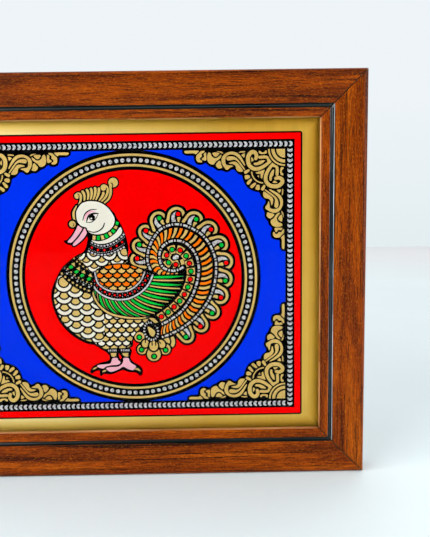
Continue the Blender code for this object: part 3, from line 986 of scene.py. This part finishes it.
def picture_triangles():
    """The picture as flat triangles that don't overlap, each with the paint on top there."""
    points = []
    outlines = []
    for _, outline, _ in SHAPES:
        outlines.append(list(range(len(points), len(points) + len(outline))))
        points += [Vector(point) for point in outline]
    corners, _, triangles, _, _, sources = delaunay_2d_cdt(points, [], outlines, 1, 1e-5)
    faces = []
    for triangle, shapes in zip(triangles, sources):
        here = set(shapes)
        for i in sorted(shapes, reverse=True):
            colour, _, within = SHAPES[i]
            if colour and here.issuperset(within):
                faces.append((triangle, colour))
                break
    return corners, faces


def new_object(name, mesh):
    obj = bpy.data.objects.new(name, mesh)
    bpy.context.scene.collection.objects.link(obj)
    return obj


def add_film(materials):
    """The film of paint, one thin sheet whose cells have the colours of the picture."""
    draw_picture()
    corners, faces = picture_triangles()
    y = PANE_BACK_Y + PAINT_GAP
    vertices = [(p.x * MM + MEDALLION_X, y, p.y * MM + CENTRE_Z) for p in corners]
    mesh = bpy.data.meshes.new("painted_film")
    mesh.from_pydata(vertices, [], [face for face, _ in faces])
    colours = list(dict.fromkeys(colour for _, colour in faces))
    for colour in colours:
        mesh.materials.append(materials[colour])
    for polygon, (_, colour) in zip(mesh.polygons, faces):
        polygon.material_index = colours.index(colour)
    mesh.update()
    film = new_object("painted_film", mesh)
    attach(film, BODY)


def face_height(inward):
    """Height of the sloping outer face at a distance inward from the moulding's outside."""
    tangent = ARRIS_RADIUS * (1 + math.sin(FACE_SLOPE))
    height = MOULDING_DEPTH - ARRIS_RADIUS * (1 - math.cos(FACE_SLOPE))
    return height - (inward - tangent) * math.tan(FACE_SLOPE)


def lip_height(inward):
    """Height of the lip's front at a distance inward from the moulding's outside."""
    start = MOULDING_WIDTH - LIP_WIDTH
    return face_height(start) - LIP_DROP - (inward - start) * math.tan(LIP_SLOPE)


def moulding_profile():
    """Cross-section as (inward, height, finish) points. The finish is that of the face that
    runs from the point to the next one: wood, groove, wall, edge or raw."""
    groove_start = MOULDING_WIDTH - LIP_WIDTH - GROOVE_WIDTH
    groove_end = MOULDING_WIDTH - LIP_WIDTH
    lip_edge = MOULDING_WIDTH - LIP_WALL_LEAN
    rebate = lip_height(MOULDING_WIDTH) - LIP_THICKNESS
    corner = (ARRIS_RADIUS, MOULDING_DEPTH - ARRIS_RADIUS)
    arris = arc(corner, ARRIS_RADIUS, 180, 90 - math.degrees(FACE_SLOPE), ARRIS_STEPS)
    groove = []
    for step in range(1, GROOVE_STEPS):
        share = step / GROOVE_STEPS
        inward = groove_start + GROOVE_WIDTH * share
        groove.append((inward, face_height(inward) - GROOVE_DEPTH * math.sin(math.pi * share) ** 0.5))
    lip_centre = (lip_edge - LIP_ROUND, lip_height(lip_edge) - LIP_ROUND)
    lip_round = arc(lip_centre, LIP_ROUND, 90 - math.degrees(LIP_SLOPE), 0, LIP_ROUND_STEPS)
    ends = [(MOULDING_WIDTH, rebate), (WALL_WIDTH, rebate), (WALL_WIDTH, 0.0)]
    profile = [(*point, "wood") for point in [(0.0, 0.0)] + arris]
    groove.insert(0, (groove_start, face_height(groove_start)))
    for step, point in enumerate(groove):
        at_side = step < GROOVE_WALL_STEPS or step >= GROOVE_STEPS - GROOVE_WALL_STEPS
        profile.append((*point, "wall" if at_side else "groove"))
    profile += [(*point, "wood") for point in [(groove_end, lip_height(groove_end))] + lip_round[:-1]]
    # The lip's inner wall, whose finish is a painted highlight
    profile.append((*lip_round[-1], "edge"))
    profile += [(*point, "raw") for point in ends]
    return profile


# Each rail's turn about the frame's middle, its outer length, and the frame's size across it
RAILS = {
    "bottom": (0.0, OUTER_WIDTH, OUTER_HEIGHT),
    "right": (-math.pi / 2, OUTER_HEIGHT, OUTER_WIDTH),
    "top": (math.pi, OUTER_WIDTH, OUTER_HEIGHT),
    "left": (math.pi / 2, OUTER_HEIGHT, OUTER_WIDTH),
}


def add_rail(side, materials):
    """One mitred rail. In its own frame it runs along X, with its outside at Y = 0. Its mesh is
    shifted along X in that frame, so that each rail has its own stretch of grain. A narrow strip
    at each end is stained dark."""
    turn, length, across = RAILS[side]
    shift = GRAIN_SHIFT * (1 + list(RAILS).index(side))
    profile = moulding_profile()
    half = length / 2 - MITRE_GAP / math.sqrt(2)
    bm = bmesh.new()
    rings = []
    for end, inset in ((-1, 0.0), (-1, MITRE_STAIN), (1, MITRE_STAIN), (1, 0.0)):
        ring = [bm.verts.new((shift + end * (half - inset - u), u, v)) for u, v, _ in profile]
        rings.append(ring)
    finishes = ("wood", "groove", "wall", "edge", "raw", "mitre")
    count = len(profile)
    for k, (first, second) in enumerate(zip(rings, rings[1:])):
        for i in range(count):
            j = (i + 1) % count
            face = bm.faces.new((first[i], second[i], second[j], first[j]))
            stained = k != 1 and profile[i][2] != "raw"
            face.material_index = finishes.index("mitre" if stained else profile[i][2])
            face.smooth = True
    for ring in (rings[0], rings[-1]):
        cap = bm.faces.new(ring)
        cap.material_index = finishes.index("raw")
    bmesh.ops.recalc_face_normals(bm, faces=bm.faces)
    mesh = bpy.data.meshes.new("moulding_" + side)
    bm.to_mesh(mesh)
    bm.free()
    mesh.set_sharp_from_angle(angle=SHARP_ANGLE)
    # The groove's sides take the painted highlight only in the uprights
    upright = side in ("left", "right")
    for finish in finishes:
        mesh.materials.append(materials["groove" if finish == "wall" and not upright else finish])
    rail = new_object("moulding_" + side, mesh)
    rail.matrix_world = (
        Matrix.Translation((0.0, 0.0, CENTRE_Z))
        @ Matrix.Rotation(turn, 4, "Y")
        @ Matrix.Translation((-shift, 0.0, -across / 2))
        @ Matrix.Rotation(math.pi / 2, 4, "X")
    )
    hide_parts("rail_" + side)
    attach(rail, BODY)


class Nodes:
    """A node tree, and short ways to build in it."""

    def __init__(self, tree):
        self.tree = tree

    def feed(self, socket, value):
        """Gives a socket a plain value, or another node's output."""
        if isinstance(value, bpy.types.NodeSocket):
            self.tree.links.new(value, socket)
        else:
            socket.default_value = value

    def node(self, kind, **inputs):
        node = self.tree.nodes.new(kind)
        for key, value in inputs.items():
            self.feed(node.inputs[key.replace("_", " ")], value)
        return node

    def axes(self, where):
        return self.node("ShaderNodeSeparateXYZ", Vector=where).outputs

    def ramp(self, value, *stops):
        """A colour ramp through (position, colour) stops."""
        node = self.node("ShaderNodeValToRGB", Fac=value)
        elements = node.color_ramp.elements
        while len(elements) < len(stops):
            elements.new(0.5)
        for element, (position, colour) in zip(elements, stops):
            element.position = position
            element.color = (*colour, 1.0)
        return node.outputs["Color"]

    def mix(self, share, first, second, blend="MIX"):
        node = self.tree.nodes.new("ShaderNodeMix")
        node.data_type = "RGBA"
        node.blend_type = blend
        for index, value in ((0, share), (6, first), (7, second)):
            self.feed(node.inputs[index], value)
        return node.outputs[2]

    def range(self, value, low, high, start=0.3, end=0.7):
        node = self.node("ShaderNodeMapRange", Value=value)
        for key, number in (("From Min", start), ("From Max", end), ("To Min", low), ("To Max", high)):
            node.inputs[key].default_value = number
        return node.outputs["Result"]

    def math(self, operation, first, second=0.0):
        node = self.tree.nodes.new("ShaderNodeMath")
        node.operation = operation
        for socket, value in zip(node.inputs, (first, second)):
            self.feed(socket, value)
        return node.outputs["Value"]


class Finish(Nodes):
    """A material with a Principled shader."""

    def __init__(self, name, colour, roughness, **values):
        self.material = bpy.data.materials.new(name)
        self.material.use_nodes = True
        super().__init__(self.material.node_tree)
        self.shader = self.tree.nodes["Principled BSDF"]
        self.shader.inputs["Base Color"].default_value = (*colour, 1.0)
        self.shader.inputs["Roughness"].default_value = roughness
        for key, value in values.items():
            self.shader.inputs[key.replace("_", " ").title().replace("Ior", "IOR")].default_value = value

    def place(self, stretch_by=(1.0, 1.0, 1.0)):
        """Object coordinates in metres, stretched."""
        where = self.node("ShaderNodeTexCoord").outputs["Object"]
        return self.node("ShaderNodeMapping", Vector=where, Scale=stretch_by).outputs["Vector"]

    def noise(self, scale, detail=3.0, stretch_by=(1.0, 1.0, 1.0), distortion=0.0):
        where = self.place(stretch_by)
        noise = self.node(
            "ShaderNodeTexNoise", Vector=where, Scale=scale, Detail=detail, Distortion=distortion
        )
        return noise.outputs["Fac"]

    def edge_distance(self):
        """How far a point is inside the moulding's opening: 0 at the lip, 1 at EDGE_REACH from it."""
        axes = self.axes(self.place())
        across = self.math("ABSOLUTE", axes["X"])
        up = self.math("ABSOLUTE", self.math("SUBTRACT", axes["Z"], CENTRE_Z))
        across = self.math("SUBTRACT", OUTER_WIDTH / 2 - MOULDING_WIDTH, across)
        up = self.math("SUBTRACT", OUTER_HEIGHT / 2 - MOULDING_WIDTH, up)
        return self.math("DIVIDE", self.math("MINIMUM", across, up), EDGE_REACH)

    def link(self, output, socket):
        self.tree.links.new(output, self.shader.inputs[socket])

    def tones(self, value, dark, pale):
        """Colours the surface from dark to pale by a value."""
        self.link(self.ramp(value, (0.35, dark), (0.65, pale)), "Base Color")

    def roughen(self, value, low, high):
        self.link(self.range(value, low, high), "Roughness")

    def bump(self, height, distance, strength):
        node = self.node("ShaderNodeBump", Height=height, Strength=strength, Distance=distance)
        self.link(node.outputs["Normal"], "Normal")


def rgb(red, green, blue):
    """A colour given as a screen shows it, in linear light."""
    return tuple(
        (value / 255 / 12.92) if value <= 10 else ((value / 255 + 0.055) / 1.055) ** 2.4
        for value in (red, green, blue)
    )


def wood_finish():
    """Brown satin veneer: slow bands of tone, a few long dark veins, fine pores, painted glints."""
    finish = Finish("wood_grain", rgb(128, 54, 4), 0.34, specular_ior_level=0.09)
    bands = finish.noise(60.0, 2.0, (0.13, 1.9, 1.9), 0.9)
    base = finish.ramp(
        bands,
        (0.28, rgb(66, 20, 0)),
        (0.42, rgb(106, 39, 0)),
        (0.56, rgb(134, 55, 0)),
        (0.72, rgb(156, 74, 4)),
    )
    veins = finish.noise(46.0, 3.0, (0.2, 14.0, 14.0), 0.9)
    vein = finish.ramp(veins, (0.33, rgb(72, 58, 54)), (0.41, (1.0, 1.0, 1.0)))
    colour = finish.mix(0.9, base, vein, "MULTIPLY")
    pores = finish.noise(2500.0, 2.0, (0.05, 1.0, 1.0), 0.2)
    pore = finish.ramp(pores, (0.36, rgb(112, 88, 82)), (0.56, (1.0, 1.0, 1.0)))
    colour = finish.mix(0.8, colour, pore, "MULTIPLY")
    # Painted glints: light flecks added to the wood's colour
    flecks = finish.noise(1900.0, 2.0, (0.34, 1.0, 1.0))
    fleck = finish.ramp(flecks, (0.53, (0.0, 0.0, 0.0)), (0.7, rgb(128, 72, 6)))
    finish.link(finish.mix(0.6, colour, fleck, "ADD"), "Base Color")
    finish.roughen(pores, 0.42, 0.3)
    finish.bump(pores, 0.00005, 0.4)
    return finish.material


def lip_edge_highlight_finish():
    """The lip's polished inner wall, coloured paler than the wood: a painted highlight."""
    finish = Finish("lip_edge", rgb(190, 128, 84), 0.3, coat_weight=0.6)
    tone_noise = finish.noise(90.0, 4.0, (0.3, 2.0, 2.0))
    finish.tones(tone_noise, rgb(134, 74, 32), rgb(190, 134, 88))
    finish.roughen(tone_noise, 0.24, 0.36)
    return finish.material


def mitre_finish():
    """Dark stain and glue that have soaked into the mitres' edges."""
    finish = Finish("mitre_stain", rgb(40, 16, 4), 0.5, specular_ior_level=0.1)
    soak = finish.noise(400.0, 3.0)
    finish.tones(soak, rgb(28, 10, 2), rgb(58, 24, 6))
    finish.roughen(soak, 0.45, 0.6)
    return finish.material


def raw_wood_finish():
    """Sawn pine at the back of the rails and in the rebate."""
    finish = Finish("raw_wood", rgb(190, 158, 112), 0.75)
    grain = finish.noise(30.0, 5.0, (0.3, 9.0, 9.0), 0.8)
    finish.tones(grain, rgb(158, 122, 78), rgb(202, 172, 126))
    finish.bump(finish.noise(900.0, 2.0, (0.15, 1.0, 1.0)), 0.0001, 0.5)
    return finish.material


def groove_finish(name, dark, pale):
    """Lacquer in the groove: black. The pale grey on its sides in the left and right rails is a painted
    highlight.
    """
    finish = Finish(name, pale, 0.3, specular_ior_level=0.3, coat_weight=0.4, coat_roughness=0.05)
    tone_noise = finish.noise(160.0, 3.0, (0.15, 1.0, 1.0))
    finish.tones(tone_noise, dark, pale)
    finish.roughen(tone_noise, 0.24, 0.4)
    return finish.material


def paint_finish(name, colour, roughness=0.32, mottle=0.06, scale=700.0, **values):
    """A thin coat of enamel, a little uneven. It is bonded to the glass, so it has no gloss of
    its own."""
    finish = Finish("paint_" + name, colour, roughness, specular_ior_level=0.0, **values)
    patch = finish.noise(scale, 3.0)
    cloud = finish.noise(scale / 14, 3.0)
    lower = tuple(value * (1 - mottle) for value in colour)
    upper = tuple(min(1.0, value * (1 + mottle)) for value in colour)
    fine = finish.ramp(patch, (0.35, lower), (0.65, upper))
    soft = finish.ramp(cloud, (0.35, lower), (0.65, upper))
    finish.link(finish.mix(0.5, fine, soft), "Base Color")
    finish.roughen(cloud, roughness * 0.85, roughness * 1.15)
    return finish.material


def foil_finish():
    """Satin gold foil, brushed faintly up and down. Its colour has a painted reflection, paler at
    the left and deeper at the top right, and painted shade, darker near the lip."""
    finish = Finish("gold_foil", rgb(214, 168, 64), 0.5, metallic=0.85)
    cloud = finish.noise(30.0, 3.0, (1.0, 1.0, 0.6))
    brushed = finish.noise(900.0, 3.0, (1.0, 1.0, 0.03))
    colour = finish.ramp(cloud, (0.3, rgb(214, 170, 66)), (0.7, rgb(228, 190, 92)))
    tint = finish.ramp(brushed, (0.3, (0.86, 0.86, 0.82)), (0.7, (1.0, 1.0, 1.0)))
    colour = finish.mix(0.7, colour, tint, "MULTIPLY")
    # Painted reflection: the colour is paler towards the left and deeper towards the top right
    axes = finish.axes(finish.place())
    left = finish.range(axes["X"], 0.5, 0.0, -0.08, 0.07)
    colour = finish.mix(left, colour, (*rgb(236, 222, 170), 1.0))
    right = finish.range(axes["X"], 0.0, 1.0, 0.0, 0.12)
    high = finish.range(axes["Z"], 0.3, 1.0, CENTRE_Z - 0.1, CENTRE_Z + 0.1)
    painted_reflection_top_right = finish.math("MULTIPLY", right, high)
    deeper = finish.ramp(painted_reflection_top_right, (0.0, (1.0, 1.0, 1.0)), (1.0, (0.84, 0.76, 0.5)))
    colour = finish.mix(1.0, colour, deeper, "MULTIPLY")
    # Painted shade: the colour is darker near the lip
    shade = finish.ramp(
        finish.edge_distance(),
        (0.2, (0.64, 0.54, 0.2)),
        (0.5, (0.86, 0.8, 0.54)),
        (0.9, (1.0, 1.0, 1.0)),
    )
    finish.link(finish.mix(1.0, colour, shade, "MULTIPLY"), "Base Color")
    finish.roughen(brushed, 0.44, 0.56)
    return finish.material


def gold_paint_finish():
    """Gold paint: bright metal grains in a paler ground."""
    finish = Finish("paint_gold", rgb(222, 190, 112), 0.45, metallic=0.3, specular_ior_level=0.0)
    grain = finish.noise(2200.0, 2.0)
    cloud = finish.noise(60.0, 3.0)
    speck = finish.ramp(grain, (0.36, rgb(166, 134, 64)), (0.62, rgb(214, 186, 116)))
    soft = finish.ramp(cloud, (0.35, rgb(186, 156, 84)), (0.65, rgb(202, 172, 98)))
    finish.link(finish.mix(0.5, speck, soft), "Base Color")
    finish.roughen(grain, 0.5, 0.36)
    return finish.material


def silver_finish():
    """Silver beads: light grey, each with darker flecks."""
    finish = Finish("paint_silver", rgb(205, 205, 208), 0.4, metallic=0.1, specular_ior_level=0.0)
    fleck = finish.noise(900.0, 2.0)
    finish.link(finish.ramp(fleck, (0.34, rgb(116, 116, 120)), (0.56, rgb(188, 188, 191))), "Base Color")
    finish.roughen(fleck, 0.5, 0.3)
    return finish.material


def glass_finish():
    """Clear picture glass. Its index of refraction is set low, which keeps reflections low."""
    finish = Finish("clear_glass", (1.0, 1.0, 1.0), 0.0, transmission_weight=1.0, ior=1.08)
    return finish.material


def board_finish():
    """Pressed board: brown fibres, smooth from the press."""
    finish = Finish("pressed_board", rgb(122, 86, 52), 0.7)
    fibre = finish.noise(420.0, 4.0, (0.6, 1.0, 1.0), 0.8)
    finish.tones(fibre, rgb(92, 62, 36), rgb(146, 106, 68))
    finish.bump(fibre, 0.00012, 0.6)
    return finish.material


def steel_finish():
    """Zinc-plated steel with fine scratches."""
    finish = Finish("bright_steel", rgb(196, 198, 200), 0.32, metallic=1.0)
    scratch = finish.noise(1400.0, 3.0, (1.0, 1.0, 0.08))
    finish.tones(scratch, rgb(168, 170, 174), rgb(210, 212, 214))
    finish.roughen(scratch, 0.24, 0.42)
    finish.bump(scratch, 0.00003, 0.4)
    return finish.material


NODE_FINISHES = {
    "glass": "glass", "gold": "foil", "back_board": "board", "hanger": "steel", "tab": "steel",
}


def dress_nodes(materials):
    """Gives the CAD nodes that stay their finishes, by how their names start."""
    for name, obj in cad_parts.items():
        for start, finish in NODE_FINISHES.items():
            if name.startswith(start):
                obj.data.materials.clear()
                obj.data.materials.append(materials[finish])


def add_camera():
    data = bpy.data.cameras.new("camera")
    data.sensor_fit = "AUTO"
    data.sensor_width = SENSOR_WIDTH
    data.lens = FOCAL_PIXELS * SENSOR_WIDTH / max(IMAGE_WIDTH, IMAGE_HEIGHT)
    data.clip_start = CLIP_START
    camera = new_object("camera", data)
    back = -Vector(CAMERA_VIEW).normalized()
    right = Vector(CAMERA_UP).cross(back).normalized()
    up = back.cross(right)
    camera.matrix_world = Matrix.Translation(CAMERA_PLACE) @ Matrix((right, up, back)).transposed().to_4x4()
    bpy.context.scene.camera = camera


def add_light(name, place, target, size, power):
    data = bpy.data.lights.new(name, "AREA")
    data.shape = "RECTANGLE"
    data.size, data.size_y = size
    data.energy = power
    light = new_object(name, data)
    direction = Vector(target) - Vector(place)
    light.matrix_world = Matrix.Translation(place) @ direction.to_track_quat("-Z", "Y").to_matrix().to_4x4()


def add_floor():
    """The pale floor, which is paler away from the frame: painted light that evens out the lamps' falloff."""
    mesh = bpy.data.meshes.new("floor")
    sides = (-FLOOR_REACH, FLOOR_REACH)
    corners = [(x, y, 0.0) for x, y in box(*sides, *sides)]
    mesh.from_pydata(corners, [], [(0, 1, 2, 3)])
    floor = new_object("floor", mesh)
    floor.location.z = LOW.z - FLOOR_GAP
    finish = Finish("floor", rgb(224, 235, 236), 0.6, specular_ior_level=0.2)
    axes = finish.axes(finish.place())
    squares = [finish.math("MULTIPLY", axes[key], axes[key]) for key in ("X", "Y")]
    away = finish.math("DIVIDE", finish.math("SQRT", finish.math("ADD", *squares)), FLOOR_REACH)
    # Painted light: the floor is paler away from the frame
    tone = finish.ramp(
        away,
        (0.1, rgb(222, 234, 236)),
        (0.25, rgb(225, 236, 238)),
        (0.6, rgb(242, 253, 254)),
        (0.95, rgb(255, 255, 255)),
    )
    cloud = finish.ramp(finish.noise(6.0, 3.0), (0.3, (0.97, 0.97, 0.97)), (0.7, (1.0, 1.0, 1.0)))
    finish.link(finish.mix(1.0, tone, cloud, "MULTIPLY"), "Base Color")
    mesh.materials.append(finish.material)


def add_lights():
    middle = (0.0, 0.0, CENTRE_Z)
    add_light("window_left", (-0.95, -0.95, 0.5), middle, (1.1, 0.9), 17.0)
    add_light("window_right", (0.8, -0.98, 0.35), middle, (0.6, 0.8), 7.5)
    add_light("side_left", (-0.9, -0.3, 0.0), middle, (0.3, 0.45), 6.0)
    add_light("side_right", (0.95, -0.3, 0.0), middle, (0.3, 0.45), 4.0)
    add_light("soft_top", (0.0, 0.1, 1.3), middle, (1.6, 1.2), 4.4)
    add_light("soft_back", (0.5, 1.35, 1.2), (0.4, 1.2, LOW.z), (1.4, 1.0), 6.0)


def add_surroundings():
    """A pale wall where the camera looks, and a room that is dim in front for all other light."""
    world = bpy.data.worlds.new("surroundings")
    bpy.context.scene.world = world
    world.use_nodes = True
    background = world.node_tree.nodes["Background"]
    background.inputs["Strength"].default_value = 1.0
    nodes = Nodes(world.node_tree)
    axes = nodes.axes(nodes.node("ShaderNodeTexCoord").outputs["Generated"])
    along, up = (nodes.range(axes[key], 0.0, 1.0, -1.0, 1.0) for key in ("Y", "Z"))
    dim_front = nodes.ramp(along, (0.3, (0.04, 0.04, 0.045)), (0.75, (0.8, 0.84, 0.88)))
    pale_wall = nodes.ramp(up, (0.46, rgb(228, 238, 241)), (0.56, rgb(238, 244, 248)))
    seen = nodes.node("ShaderNodeLightPath").outputs["Is Camera Ray"]
    nodes.feed(background.inputs["Color"], nodes.mix(seen, dim_front, pale_wall))


def main():
    materials = {
        "wood": wood_finish(),
        # The lip's inner wall: a painted highlight
        "edge": lip_edge_highlight_finish(),
        "mitre": mitre_finish(),
        "raw": raw_wood_finish(),
        "groove": groove_finish("groove_lacquer", rgb(4, 10, 9), rgb(12, 22, 20)),
        # The groove's sides in the uprights: pale grey, a painted highlight
        "wall": groove_finish("groove_side_painted_highlight", rgb(104, 120, 128), rgb(204, 216, 222)),
        "glass": glass_finish(),
        "board": board_finish(),
        "steel": steel_finish(),
        "foil": foil_finish(),
        GOLD: gold_paint_finish(),
        SILVER: silver_finish(),
        INK: paint_finish("black", rgb(6, 6, 7), 0.3, 0.3),
        RED: paint_finish("red", rgb(222, 1, 1)),
        BLUE: paint_finish("blue", rgb(1, 42, 206)),
        WHITE: paint_finish("white", rgb(208, 204, 190), mottle=0.04),
        GREEN: paint_finish("green", rgb(4, 172, 50)),
        ORANGE: paint_finish("orange", rgb(222, 104, 2)),
        PINK: paint_finish("pink", rgb(212, 156, 168), mottle=0.04),
    }
    bpy.context.scene.view_settings.view_transform = "Standard"
    add_camera()
    add_floor()
    add_lights()
    add_surroundings()
    for side in RAILS:
        add_rail(side, materials)
    add_film(materials)
    dress_nodes(materials)


main()
